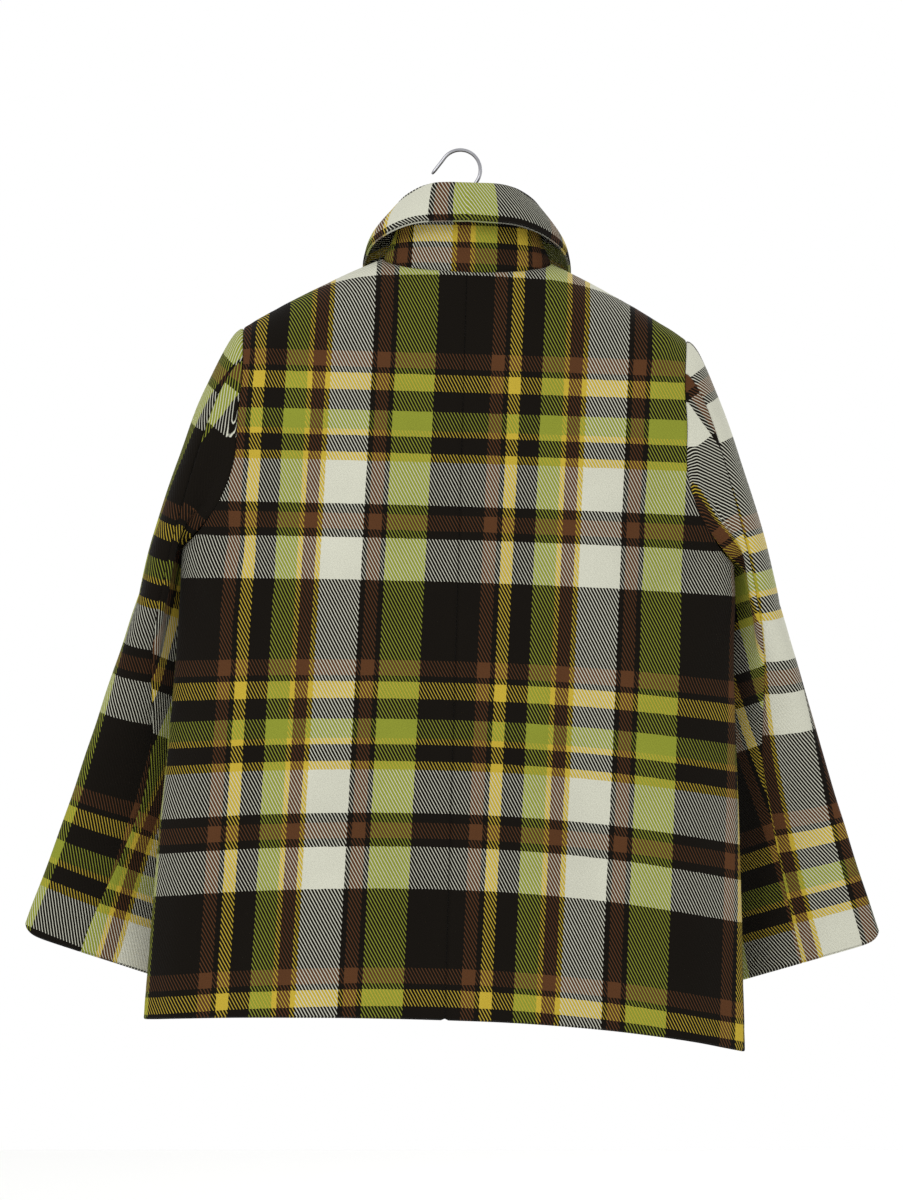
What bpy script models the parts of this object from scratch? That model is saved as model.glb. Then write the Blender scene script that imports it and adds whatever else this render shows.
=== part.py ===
"""A plaid wool winter jacket that hangs on a plain hanger.

Sizes are in millimetres and are turned into metres where a mesh is made. The jacket is drawn
upright about its own centre plane: +X is the wearer's right, the back faces -Y and +Z is up.
The outside of the cloth is one welded surface of panels. Each panel becomes a closed wall of
cloth, measured inwards from that surface, and stops short of its neighbours at every seam.
Heights are below the inner top of the hook, where everything hangs from a rod or a peg.
"""
import math
from collections import namedtuple

import bpy
from mathutils import Vector

MM = 0.001

# How the jacket hangs
HANG_TILT = math.radians(1.7)
HOOK_OFFSET = 9.0

# Cloth
CLOTH = 3.0
SEAM_GAP = 0.3
WELD = 0.01
HOLLOW = 3.0

# Neck and shoulders
NECK_HALF = 80.0
NECK_SIDE_Z = -104.0
NECK_BACK_Y = -42.0
NECK_BACK_Z = -116.0
NECK_FRONT_Y = 52.0
NECK_FRONT_Z = -180.0
SHOULDER_HALF = 212.0
SHOULDER_Z = -174.0
SHOULDER_CROWN = 3.0
SHOULDER_ROUND = 42.0

# Body below the neck
UNDERARM_Z = -387.0
BACK_SQUARE = 2.4
FRONT_SQUARE = 2.0
BACK_DEPTH_TOP = 46.0
FRONT_DEPTH_TOP = 54.0
HEM_Z = -826.0
HEM_DROP = {-1: 10.0, 1: 24.0}

# Front lap: the right front lies over the left one
LAP_ANGLE = -3.3
LAP_FLAT = 5.0
LAP_END = 10.0
LAP_STEP = CLOTH + 0.9

# Columns round a half body, in degrees from the centre line to the side
NECK_ANGLE = 28.0
BACK_COLUMNS = (0, 7, 14, 21, 28, 37, 46, 55, 64, 73, 82, 90)
FRONT_COLUMNS = (LAP_ANGLE, 0, 5, 10, 16, 22, 28, 37, 46, 55, 64, 73, 82, 90)

# Rows down the garment
CHEST_ROWS = 12
CHEST_CROWDING = 1.8
SKIRT_ROWS = 10

# Armhole, from the shoulder point (0) to the underarm (1)
Armhole = namedtuple("Armhole", "at z back_x back_y front_x front_y")
ARMHOLE = (
    Armhole(0.00, -174, 212, 27, 212, 27),
    Armhole(0.19, -218, 211, 31, 199, 33),
    Armhole(0.36, -256, 214, 34, 193, 40),
    Armhole(0.55, -300, 216, 35, 194, 42),
    Armhole(0.73, -338, 228, 31, 207, 37),
    Armhole(0.88, -367, 247, 18, 232, 22),
    Armhole(1.00, -387, 264, 0, 264, 0),
)

# Body from the underarm (0) to the hem (1)
Level = namedtuple("Level", "at half_width back front")
LEVELS = (
    Level(0.0, 264, 53, 57),
    Level(0.3, 269, 54, 58),
    Level(0.6, 278, 52, 56),
    Level(1.0, 288, 49, 53),
)

# Soft folds: outward swell of the skirt, widest at the hem
Fold = namedtuple("Fold", "face side angle width depth start")
FOLDS = (
    Fold("back", -1, 27, 9, 5.0, 0.25),
    Fold("back", -1, 58, 10, 6.0, 0.10),
    Fold("back", 1, 20, 9, 4.0, 0.40),
    Fold("back", 1, 50, 11, 6.5, 0.15),
    Fold("front", -1, 30, 10, 5.0, 0.20),
    Fold("front", -1, 62, 9, 6.0, 0.30),
    Fold("front", 1, 36, 11, 6.0, 0.15),
    Fold("front", 1, 66, 9, 5.0, 0.35),
)

# Sleeve rings from the upper arm (0) to the cuff (1), by the point on the outer edge
Ring = namedtuple("Ring", "at outer_x outer_z half_width half_depth slope centre_y turn")
RINGS = (
    Ring(0.00, 306, -428, 68.5, 31, 8, 44, 72),
    Ring(0.33, 340, -536, 67, 32, 15, 57, 50),
    Ring(0.66, 374, -643, 69, 26, 17, 60, 32),
    Ring(1.00, 411, -751, 73, 23, 17, 48, 12),
)
CAP_ROWS = 8
ARM_ROWS = 8
# The way the sleeve sets out from the armhole, by its column
Leave = namedtuple("Leave", "at x y z")
LEAVES = (
    Leave(0, 70, 0, -10),
    Leave(6, 84, -9, -36),
    Leave(10, 82, 30, -16),
    Leave(12, 36, 11, -9),
    Leave(14, 15, 51, -47),
    Leave(18, 34, 58, -13),
    Leave(24, 70, 0, -10),
)
CAP_ARRIVES = Vector((0.15, 0.06, -0.95))
CAP_PULL = 0.7
# Room that the sleeve keeps to the body's outline, which it may enter only high up
ROOM_TOP_Z = -256.0
ROOM_LOW_Z = -388.0
ROOM_HIGH = -45.0
Room = namedtuple("Room", "at room")
ROOMS = (Room(0, 14), Room(9, 14), Room(12, 9), Room(24, 9))
ROOM_SOFT = 0.02
ROOM_START = 0.3
Swing = namedtuple("Swing", "degrees stretch")
SWINGS = {-1: Swing(-0.5, 1.012), 1: Swing(0.9, 0.990)}

# Sleeve columns: armhole rows are counted down the back, then up the front
BACK_SEAM = 4
UNDERARM_SEAM = CHEST_ROWS
FRONT_SEAM = CHEST_ROWS + 5
# How far round the sleeve its seams lie, in degrees from the outer edge
Turn = namedtuple("Turn", "column arm elbow cuff")
TURNS = (
    Turn(0, 0, 0, 0),
    Turn(BACK_SEAM, 70, 100, 89),
    Turn(UNDERARM_SEAM, 124, 150, 140),
    Turn(FRONT_SEAM, 208, 208, 208),
    Turn(2 * CHEST_ROWS, 360, 360, 360),
)
ELBOW = 0.5
# The back seam ends this much further round the right cuff, and this much less far round the left
CUFF_TURN = 9.0
# The cuff's outermost edge is higher by this share of the arm, over this width
CUFF_LIFT = 0.026
CUFF_LIFT_WIDTH = 0.08

# Collar, by the angle round the neck from centre back (0) to centre front (180)
Collar = namedtuple("Collar", "at top_x top_y top_z edge_x edge_y edge_z")
COLLAR = (
    Collar(0, 0, -33, -38, 0, -54, -67),
    Collar(30, 32, -29, -39, 49, -49, -70),
    Collar(60, 53, -17, -48, 83, -27, -84),
    Collar(90, 62, 2, -62, 96, 2, -100),
    Collar(120, 54, 30, -84, 96, 44, -122),
    Collar(150, 31, 50, -110, 68, 70, -166),
    Collar(180, 1.5, 57, -132, 26, 86, -204),
)
STAND_ROWS = 4
FOLD_RADIUS = 5.0
FOLD_TURN = math.radians(140)
FOLD_ROWS = 5
FALL_ROWS = 4
FALL_PULL = 0.9
FALL_END = Vector((0, 0, -1))

# Buttons down the centre front
BUTTON_COUNT = 5
BUTTON_TOP_Z = -225.0
BUTTON_PITCH = 105.0
BUTTON_RADIUS = 13.0
BUTTON_THICK = 4.5
BUTTON_HOLLOW = 9.0
BUTTON_DISH = 1.5
BUTTON_SIDES = 20

# Hanger
BAR_HALF = 205.0
BAR_DEPTH = 13.0
BAR_HEIGHT = 18.0
BAR_CLEAR = 0.45
BAR_STEPS = 36
BAR_SIDES = 10
BAR_TAPER = 0.72
WIRE = 3.6
WIRE_SIDES = 8
HOOK_RADIUS = 19.1
STEM_X = 4.3
STEM_TOP_Z = -46.0
STEM_JOIN = math.radians(-35)
HOOK_OPEN = math.radians(150)
HOOK_STEPS = 14
HOOK_TIP = Vector((-36.0, 0, -22.0))

Finish = namedtuple("Finish", "red green blue roughness metallic")
FINISHES = {
    "wool": Finish(0.22, 0.20, 0.13, 0.92, 0.0),
    "collar_wool": Finish(0.26, 0.24, 0.16, 0.92, 0.0),
    "button": Finish(0.10, 0.06, 0.03, 0.35, 0.0),
    "wood": Finish(0.45, 0.28, 0.13, 0.45, 0.0),
    "steel": Finish(0.72, 0.72, 0.72, 0.22, 1.0),
}


def mix(a, b, t):
    return a + (b - a) * t


def smooth_step(t):
    t = min(max(t, 0.0), 1.0)
    return t * t * (3 - 2 * t)


def read(table, column, at):
    """A smooth curve through one column of a table, by its 'at' column."""
    last = len(table) - 1
    at = min(max(at, table[0].at), table[last].at)
    i = 0
    while i < last - 1 and at > table[i + 1].at:
        i += 1
    a, b = table[i], table[i + 1]
    span = b.at - a.at
    value_a, value_b = getattr(a, column), getattr(b, column)
    before, after = table[max(i - 1, 0)], table[min(i + 2, last)]
    slope_a = (value_b - getattr(before, column)) / (b.at - before.at)
    slope_b = (getattr(after, column) - value_a) / (after.at - a.at)
    return hermite(value_a, value_b, slope_a * span, slope_b * span, (at - a.at) / span)


def hermite(start, end, leave, arrive, t):
    t2, t3 = t * t, t * t * t
    return (start * (2 * t3 - 3 * t2 + 1) + leave * (t3 - 2 * t2 + t)
            + end * (3 * t2 - 2 * t3) + arrive * (t3 - t2))


def rounded(share, square):
    """The other half of a superellipse whose first half is the share."""
    return max(0.0, 1 - min(abs(share), 1.0) ** square) ** (1 / square)


def collar_angle(face, angle):
    """The angle round the neck of a column that ends on the neck seam."""
    quarter = 90 * max(angle, 0) / NECK_ANGLE
    return quarter if face == "back" else 180 - quarter


def neck_point(turn):
    """A point on the neck seam, by its angle from centre back."""
    a = math.radians(turn)
    round_neck = abs(math.cos(a))
    x = NECK_HALF * math.sin(a)
    if turn <= 90:
        return Vector((x, NECK_BACK_Y * round_neck, mix(NECK_SIDE_Z, NECK_BACK_Z, round_neck)))
    return Vector((x, NECK_FRONT_Y * math.sqrt(round_neck), mix(NECK_SIDE_Z, NECK_FRONT_Z, round_neck ** 2)))


def shoulder_z(x):
    share = (x - NECK_HALF) / (SHOULDER_HALF - NECK_HALF)
    return mix(NECK_SIDE_Z, SHOULDER_Z, share) + SHOULDER_CROWN * math.sin(math.pi * share)


def top_point(face, angle):
    """The top of a column: on the lap, the neck seam or the shoulder seam."""
    if angle <= NECK_ANGLE:
        point = neck_point(collar_angle(face, abs(angle)))
        point.x = math.copysign(point.x, angle)
        return point
    x = mix(NECK_HALF, SHOULDER_HALF, (angle - NECK_ANGLE) / (90 - NECK_ANGLE))
    return Vector((x, 0, shoulder_z(x)))


def ring_point(face, angle, level, z):
    """A point round the body at one level."""
    square = BACK_SQUARE if face == "back" else FRONT_SQUARE
    a = math.radians(angle)
    share = math.copysign(abs(math.sin(a)) ** (2 / square), a)
    depth = read(LEVELS, face, level)
    y = depth * rounded(share, square)
    return Vector((share * read(LEVELS, "half_width", level), y if face == "front" else -y, z))


def lap_inset(face, side, angle):
    """How far the left front is set in, where the right one lies over it."""
    if face != "front" or side > 0:
        return 0.0
    return LAP_STEP * smooth_step((LAP_END - angle) / (LAP_END - LAP_FLAT))


def placed(point, face, side, angle):
    """A point of the right half, set in under the lap and put on its side."""
    return Vector((side * point.x, point.y - lap_inset(face, side, angle), point.z))


def chest_point(face, side, angle, down):
    """A point between the neck or shoulder (0) and the underarm level (1)."""
    top = top_point(face, angle)
    bottom = ring_point(face, angle, 0, UNDERARM_Z)
    arm_x, arm_z = read(ARMHOLE, face + "_x", down), read(ARMHOLE, "z", down)
    pull = max(angle, 0) / 90
    late = down ** (1 + 2 * pull)
    x = mix(top.x, bottom.x, late) + pull * (arm_x - mix(SHOULDER_HALF, ARMHOLE[-1].back_x, late))
    z = mix(top.z, bottom.z, down) + pull * (arm_z - mix(SHOULDER_Z, UNDERARM_Z, down))
    square = BACK_SQUARE if face == "back" else FRONT_SQUARE
    depth_top = BACK_DEPTH_TOP if face == "back" else FRONT_DEPTH_TOP
    depth = mix(depth_top, read(LEVELS, face, 0), down)
    reach = arm_x / rounded(read(ARMHOLE, face + "_y", down) / depth, square)
    plane = depth * rounded(x / reach, square) * (1 if face == "front" else -1)
    fallen = min((top.z - z) / SHOULDER_ROUND, 1.0)
    y = mix(top.y, plane, math.sqrt(max(0.0, 1 - (1 - fallen) ** 2)))
    return placed(Vector((x, y, z)), face, side, angle)


def fold_swell(face, side, angle, level):
    """The outward swell of the folds that hang towards the hem."""
    swell = 0.0
    for fold in FOLDS:
        if (fold.face, fold.side) == (face, side):
            near = math.exp(-((angle - fold.angle) / fold.width) ** 2)
            swell += fold.depth * near * smooth_step((level - fold.start) / (1 - fold.start))
    return swell


def skirt_point(face, side, angle, level):
    """A point between the underarm level (0) and the hem (1)."""
    a = math.radians(max(angle, 0))
    hem = HEM_Z - HEM_DROP[side] * math.sin(a) ** 2
    point = ring_point(face, angle, level, mix(UNDERARM_Z, hem, level))
    swell = fold_swell(face, side, angle, level)
    point.x += swell * math.sin(a)
    point.y += swell * math.cos(a) * (1 if face == "front" else -1)
    return placed(point, face, side, angle)


def turn_degrees(side, turn, at):
    """How far round the sleeve one row of the turns lies, at the upper arm (0) to the cuff (1)."""
    if at < ELBOW:
        return mix(turn.arm, turn.elbow, smooth_step(at / ELBOW))
    cuff = turn.cuff + (side * CUFF_TURN if turn.column == BACK_SEAM else 0)
    return mix(turn.elbow, cuff, smooth_step((at - ELBOW) / (1 - ELBOW)))


def armhole_turn(side, column, at):
    """The angle round the sleeve of one column, at the upper arm (0) to the cuff (1)."""
    for a, b in zip(TURNS, TURNS[1:]):
        if column <= b.column:
            share = (column - a.column) / (b.column - a.column)
            return math.radians(mix(turn_degrees(side, a, at), turn_degrees(side, b, at), share))
    return 2 * math.pi


def sleeve_ring_point(turn, at):
    """A point round the arm, from the upper arm (0) to the cuff (1), by its angle from the
    outermost one. The cuff's edge is a little higher there."""
    at *= 1 - CUFF_LIFT * math.exp((math.cos(turn) - 1) / CUFF_LIFT_WIDTH)
    slope = math.radians(read(RINGS, "slope", at))
    plan = math.radians(read(RINGS, "turn", at))
    half = read(RINGS, "half_width", at)
    along = Vector((math.cos(plan) * math.cos(slope), -math.sin(plan) * math.cos(slope), math.sin(slope)))
    back = Vector((-math.sin(plan), -math.cos(plan), 0))
    depth = read(RINGS, "half_depth", at)
    reach = math.hypot(half * along.x, depth * back.x)
    centre = Vector((read(RINGS, "outer_x", at) - reach, read(RINGS, "centre_y", at),
                     read(RINGS, "outer_z", at) - half * along.z * half * along.x / reach))
    turn += math.atan2(depth * back.x, half * along.x)
    return centre + along * half * math.cos(turn) + back * depth * math.sin(turn)


def kept_clear(point, column, weight):
    """A sleeve point, pushed out of the body's outline as far as the weight says."""
    level = (UNDERARM_Z - point.z) / (UNDERARM_Z - HEM_Z)
    low = smooth_step((ROOM_TOP_Z - point.z) / (ROOM_TOP_Z - ROOM_LOW_Z))
    room = mix(ROOM_HIGH, read(ROOMS, "room", column), low)
    half = read(LEVELS, "half_width", level) + room
    depth = read(LEVELS, "front", level) + room
    share = math.hypot(point.x / half, point.y / depth)
    soft = ROOM_SOFT * math.log(1 + math.exp(min((share - 1) / ROOM_SOFT, 50)))
    push = mix(1.0, max(1.0, (1 + soft) / share), weight)
    return Vector((point.x * push, point.y * push, point.z))


def swung(point, side, weight):
    """A sleeve point of the right side, swung about the shoulder point and put on its side."""
    swing = SWINGS[side]
    angle = math.radians(swing.degrees) * weight
    stretch = mix(1.0, swing.stretch, weight)
    x, z = (point.x - SHOULDER_HALF) * stretch, (point.z - SHOULDER_Z) * stretch
    return Vector((side * (SHOULDER_HALF + x * math.cos(angle) - z * math.sin(angle)), point.y,
                   SHOULDER_Z + x * math.sin(angle) + z * math.cos(angle)))


def armhole_point(side, column):
    """A point of the armhole seam, down the back and then up the front."""
    face = "back" if column <= UNDERARM_SEAM else "front"
    row = column if face == "back" else 2 * CHEST_ROWS - column
    return chest_point(face, side, 90, (row / CHEST_ROWS) ** CHEST_CROWDING)


def cap_point(side, column, t):
    """A point between the armhole (0) and the upper arm (1)."""
    start = armhole_point(1, column)
    end = sleeve_ring_point(armhole_turn(side, column, 0), 0)
    leave = Vector([read(LEAVES, axis, column) for axis in "xyz"])
    arrive = CAP_ARRIVES * (end - start).length * CAP_PULL
    point = hermite(start, end, leave, arrive, t)
    return swung(kept_clear(point, column, smooth_step(t / ROOM_START)), side, smooth_step(t))


def panel_rows(face, side):
    """All rows of one body panel, from the top to the hem."""
    columns = BACK_COLUMNS if face == "back" else FRONT_COLUMNS
    downs = [(j / CHEST_ROWS) ** CHEST_CROWDING for j in range(CHEST_ROWS + 1)]
    rows = [[chest_point(face, side, angle, down) for angle in columns] for down in downs]
    for j in range(1, SKIRT_ROWS + 1):
        rows.append([skirt_point(face, side, angle, j / SKIRT_ROWS) for angle in columns])
    return rows


def sleeve_rows(side):
    """All rings of one sleeve, from the armhole to the cuff."""
    columns = range(2 * CHEST_ROWS)
    rows = [[cap_point(side, k, i / CAP_ROWS) for k in columns] for i in range(CAP_ROWS + 1)]
    for i in range(1, ARM_ROWS + 1):
        at = i / ARM_ROWS
        ring = [sleeve_ring_point(armhole_turn(side, k, at), at) for k in columns]
        rows.append([swung(kept_clear(point, k, 1.0), side, 1.0) for k, point in enumerate(ring)])
    return rows


def collar_columns():
    """Every column of the collar, from the left end at centre front to the right end."""
    front = [("front", angle) for angle in FRONT_COLUMNS if 0 <= angle < NECK_ANGLE]
    back = [("back", angle) for angle in reversed(BACK_COLUMNS) if angle <= NECK_ANGLE]
    left = [(face, -1, angle) for face, angle in front + back]
    right = [(face, 1, angle) for face, angle in reversed(front + back[:-1])]
    return left + right


def collar_row_point(kind, side, turn):
    """A point on the stand's top or on the fall's lower edge."""
    return Vector((side * read(COLLAR, kind + "_x", turn), read(COLLAR, kind + "_y", turn),
                   read(COLLAR, kind + "_z", turn)))


def stand_rows():
    """Rows of the stand's outside, from the neck seam to its top."""
    rows = [[] for _ in range(STAND_ROWS + 1)]
    for face, side, angle in collar_columns():
        foot = placed(top_point(face, angle), face, side, angle)
        top = collar_row_point("top", side, collar_angle(face, angle))
        for i, row in enumerate(rows):
            row.append(foot.lerp(top, i / STAND_ROWS))
    return rows


def stand_outward(side, turn):
    """The level direction that points away from the neck at the stand's top."""
    step = 2.0
    ahead = collar_row_point("top", side, min(turn + step, 180))
    behind = collar_row_point("top", side, max(turn - step, 0))
    run = ahead - behind
    outward = Vector((side * run.y, -side * run.x, 0))
    return outward.normalized()


def fall_rows():
    """Rows of the middle of the fall: over the fold, then down to the lower edge."""
    rows = [[] for _ in range(FOLD_ROWS + FALL_ROWS + 1)]
    for face, side, angle in collar_columns():
        turn = collar_angle(face, angle)
        outward = stand_outward(side, turn)
        root = collar_row_point("top", side, turn) - outward * CLOTH / 2 + Vector((0, 0, SEAM_GAP))
        axis = root + outward * FOLD_RADIUS
        points = []
        for i in range(FOLD_ROWS + 1):
            bend = FOLD_TURN * i / FOLD_ROWS
            points.append(axis + FOLD_RADIUS * (Vector((0, 0, math.sin(bend))) - outward * math.cos(bend)))
        edge = collar_row_point("edge", side, turn)
        pull = (edge - points[-1]).length * FALL_PULL
        leave = (outward * math.sin(FOLD_TURN) + Vector((0, 0, math.cos(FOLD_TURN)))) * pull
        for i in range(1, FALL_ROWS + 1):
            points.append(hermite(points[FOLD_ROWS], edge, leave, FALL_END * pull, i / FALL_ROWS))
        for row, point in zip(rows, points):
            row.append(point)
    return rows


class Surface:
    """Welded points and faces, each face with the name of its panel."""

    def __init__(self):
        self.points = []
        self.faces = []
        self.known = {}

    def index(self, point):
        key = tuple(round(value / WELD) for value in point)
        if key not in self.known:
            self.known[key] = len(self.points)
            self.points.append(point)
        return self.known[key]

    def add(self, rows, panel_of, closed=False, flip=False):
        """Faces between rows of points; panel_of names the panel of each column."""
        count = len(rows[0])
        for upper, lower in zip(rows, rows[1:]):
            for c in range(count if closed else count - 1):
                d = (c + 1) % count
                corners = [self.index(p) for p in (upper[c], upper[d], lower[d], lower[c])]
                self.faces.append((corners[::-1] if flip else corners, panel_of(c)))

    def face_normal(self, corners):
        a, b, c, d = (self.points[i] for i in corners)
        return (c - a).cross(d - b)

    def panel_normals(self, panel):
        """The way the cloth faces at each point of a panel, shared with each neighbour at a seam
        unless the seam is a hollow corner, where each wall keeps its own direction."""
        normals, reaches = {}, {}
        for corners, owner in self.faces:
            normal = self.face_normal(corners)
            middle = sum((self.points[i] for i in corners), Vector((0, 0, 0))) / 4
            for i in corners:
                for sums, value in ((normals, normal), (reaches, (middle - self.points[i]).normalized())):
                    at_point = sums.setdefault(i, {})
                    at_point[owner] = at_point.get(owner, Vector((0, 0, 0))) + value
        facing = {}
        for i, at_point in normals.items():
            if panel in at_point:
                own = at_point[panel].normalized()
                total = at_point[panel].copy()
                for other, normal in at_point.items():
                    rise = reaches[i][other].normalized().dot(own)
                    if other != panel:
                        total += normal * (1 - smooth_step(rise * HOLLOW))
                facing[i] = total.normalized()
        return facing


def edge_moves(surface, corners_list):
    """How far each border point of a panel moves in, so that the seam stays open."""
    edges = {}
    for corners in corners_list:
        normal = surface.face_normal(corners).normalized()
        for i, j in zip(corners, corners[1:] + corners[:1]):
            edges[(i, j)] = normal.cross(surface.points[j] - surface.points[i]).normalized()
    border = {edge: inward for edge, inward in edges.items() if edge[::-1] not in edges}
    moves = {}
    for (i, j), inward in border.items():
        for k in (i, j):
            moves.setdefault(k, []).append(inward)
    half_gap = SEAM_GAP / 2
    for k, inwards in moves.items():
        total = sum(inwards, Vector((0, 0, 0)))
        corner = 1 + inwards[0].dot(inwards[-1]) if len(inwards) > 1 else 1
        moves[k] = total * half_gap / max(corner, 0.3)
    return border, moves


def wall_mesh(name, surface, panel, outside, inside):
    """A closed wall on one panel, from 'outside' above its surface to 'inside' below it."""
    chosen = [corners for corners, owner in surface.faces if owner == panel]
    border, moves = edge_moves(surface, chosen)
    normals = surface.panel_normals(panel)
    used = sorted({i for corners in chosen for i in corners})
    number = {i: n for n, i in enumerate(used)}
    count = len(used)
    still = Vector((0, 0, 0))
    moved = [surface.points[i] + moves.get(i, still) for i in used]
    skin = [p + normals[i] * outside for p, i in zip(moved, used)]
    lining = [p - normals[i] * inside for p, i in zip(moved, used)]
    faces = [[number[i] for i in corners] for corners in chosen]
    faces += [[number[i] + count for i in reversed(corners)] for corners in chosen]
    faces += [[number[j], number[i], number[i] + count, number[j] + count] for i, j in border]
    return make_mesh(name, skin + lining, faces)


def make_mesh(name, points, faces):
    mesh = bpy.data.meshes.new(name)
    mesh.from_pydata([(p + Vector((HOOK_OFFSET, 0, 0))) * MM for p in points], [], faces)
    mesh.shade_smooth()
    mesh.set_sharp_from_angle(angle=math.radians(50))
    return mesh


def make_material(name, finish_name):
    finish = FINISHES[finish_name]
    material = bpy.data.materials.new(name)
    material.use_nodes = True
    shader = material.node_tree.nodes["Principled BSDF"]
    shader.inputs["Base Color"].default_value = (finish.red, finish.green, finish.blue, 1)
    shader.inputs["Roughness"].default_value = finish.roughness
    shader.inputs["Metallic"].default_value = finish.metallic
    return material


def make_object(name, mesh, finish_name, hang):
    """One named sub-part with its own material, hung from the hook."""
    mesh.materials.append(make_material(name, finish_name))
    piece = bpy.data.objects.new(name, mesh)
    bpy.context.collection.objects.link(piece)
    piece.parent = hang
    return piece


def body_name(face, side):
    return face + ("_left" if side < 0 else "_right")


def sleeve_panel(side):
    """Which sleeve panel each column belongs to."""
    hand = "left" if side < 0 else "right"

    def panel_of(column):
        under = BACK_SEAM <= column < FRONT_SEAM
        return ("sleeve_under_" if under else "sleeve_top_") + hand
    return panel_of


def garment_surface():
    """The outside of the body, the sleeves and the collar's stand, welded at the seams."""
    surface = Surface()
    for side in (-1, 1):
        for face in ("back", "front"):
            name = body_name(face, side)
            flip = (face == "back") == (side > 0)
            surface.add(panel_rows(face, side), lambda _, name=name: name, flip=flip)
        surface.add(sleeve_rows(side), sleeve_panel(side), closed=True, flip=side < 0)
    surface.add(stand_rows(), lambda _: "collar_stand")
    return surface


def build_cloth(hang):
    surface = garment_surface()
    for panel in sorted({owner for _, owner in surface.faces}):
        finish = "collar_wool" if panel == "collar_stand" else "wool"
        make_object(panel, wall_mesh(panel, surface, panel, 0, CLOTH), finish, hang)


def build_fall(hang):
    surface = Surface()
    surface.add(fall_rows(), lambda _: "collar_fall", flip=True)
    half = CLOTH / 2
    # The fold turns the cloth over, so the side that faces the neck on the stand faces out here
    mesh = wall_mesh("collar_fall", surface, "collar_fall", half, half)
    make_object("collar_fall", mesh, "collar_wool", hang)


def front_face(z):
    """The centre front's outside at one height: its place and the way it faces."""
    def outside(height):
        if height > UNDERARM_Z:
            return chest_point("front", 1, 0, (height - NECK_FRONT_Z) / (UNDERARM_Z - NECK_FRONT_Z))
        return skirt_point("front", 1, 0, (height - UNDERARM_Z) / (HEM_Z - UNDERARM_Z))
    step = 4.0
    run = outside(z + step) - outside(z - step)
    return outside(z), Vector((0, run.z, -run.y)).normalized()


def lathe_rings(profile, sides):
    """Rings of points about the local Z axis, from (radius, height) pairs."""
    rings = []
    for radius, height in profile:
        turns = [2 * math.pi * k / sides for k in range(sides)]
        rings.append([Vector((radius * math.cos(a), radius * math.sin(a), height)) for a in turns])
    return rings


def capped_tube(rings):
    """Points and faces of a tube through rings of points, closed at both ends."""
    sides = len(rings[0])
    points = [p for ring in rings for p in ring]
    faces = [list(range(sides))[::-1]]
    for r in range(len(rings) - 1):
        for k in range(sides):
            m = (k + 1) % sides
            faces.append([r * sides + k, r * sides + m, (r + 1) * sides + m, (r + 1) * sides + k])
    faces.append([(len(rings) - 1) * sides + k for k in range(sides)])
    return points, faces


def build_buttons(hang):
    rim = BUTTON_RADIUS * 0.9
    profile = ((rim, 0), (BUTTON_RADIUS, BUTTON_THICK * 0.4), (rim, BUTTON_THICK),
               (BUTTON_HOLLOW, BUTTON_THICK), (BUTTON_HOLLOW * 0.8, BUTTON_THICK - BUTTON_DISH))
    for n in range(BUTTON_COUNT):
        name = f"button_{n + 1}"
        place, facing = front_face(BUTTON_TOP_Z - BUTTON_PITCH * n)
        turn = facing.to_track_quat("Z", "Y")
        points, faces = capped_tube(lathe_rings(profile, BUTTON_SIDES))
        seat = place + facing * SEAM_GAP
        mesh = make_mesh(name, [seat + turn @ p for p in points], faces)
        make_object(name, mesh, "button", hang)


def bar_z(x):
    """The top line of the cloth's inside along the hanger, crowned between the neck sides."""
    x = abs(x)
    if x >= NECK_HALF:
        return shoulder_z(x)
    step = 1.0
    slope = (shoulder_z(NECK_HALF + step) - NECK_SIDE_Z) / step
    return NECK_SIDE_Z - slope * (NECK_HALF * NECK_HALF - x * x) / (2 * NECK_HALF)


def swept_rings(path, width_of, height_of, sides):
    """Oval rings across a path that lies in the XZ plane."""
    rings = []
    for n, centre in enumerate(path):
        run = path[min(n + 1, len(path) - 1)] - path[max(n - 1, 0)]
        up = Vector((-run.z, 0, run.x)).normalized()
        ring = []
        for k in range(sides):
            a = 2 * math.pi * k / sides
            ring.append(centre + up * height_of(n) * math.cos(a) - Vector((0, width_of(n) * math.sin(a), 0)))
        rings.append(ring)
    return rings


def build_bar(hang):
    xs = [BAR_HALF * (2 * n / BAR_STEPS - 1) for n in range(BAR_STEPS + 1)]
    step = 0.5
    path = []
    scales = []
    for x in xs:
        scale = mix(1.0, BAR_TAPER, (abs(x) / BAR_HALF) ** 6)
        lean = math.atan((bar_z(x + step) - bar_z(x - step)) / (2 * step))
        drop = CLOTH + BAR_CLEAR + scale * BAR_HEIGHT / 2
        path.append(Vector((x + math.sin(lean) * drop, 0, bar_z(x) - math.cos(lean) * drop)))
        scales.append(scale)
    rings = swept_rings(path, lambda n: scales[n] * BAR_DEPTH / 2,
                        lambda n: scales[n] * BAR_HEIGHT / 2, BAR_SIDES)
    points, faces = capped_tube(rings)
    make_object("hanger_bar", make_mesh("hanger_bar", points, faces), "wood", hang)


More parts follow.
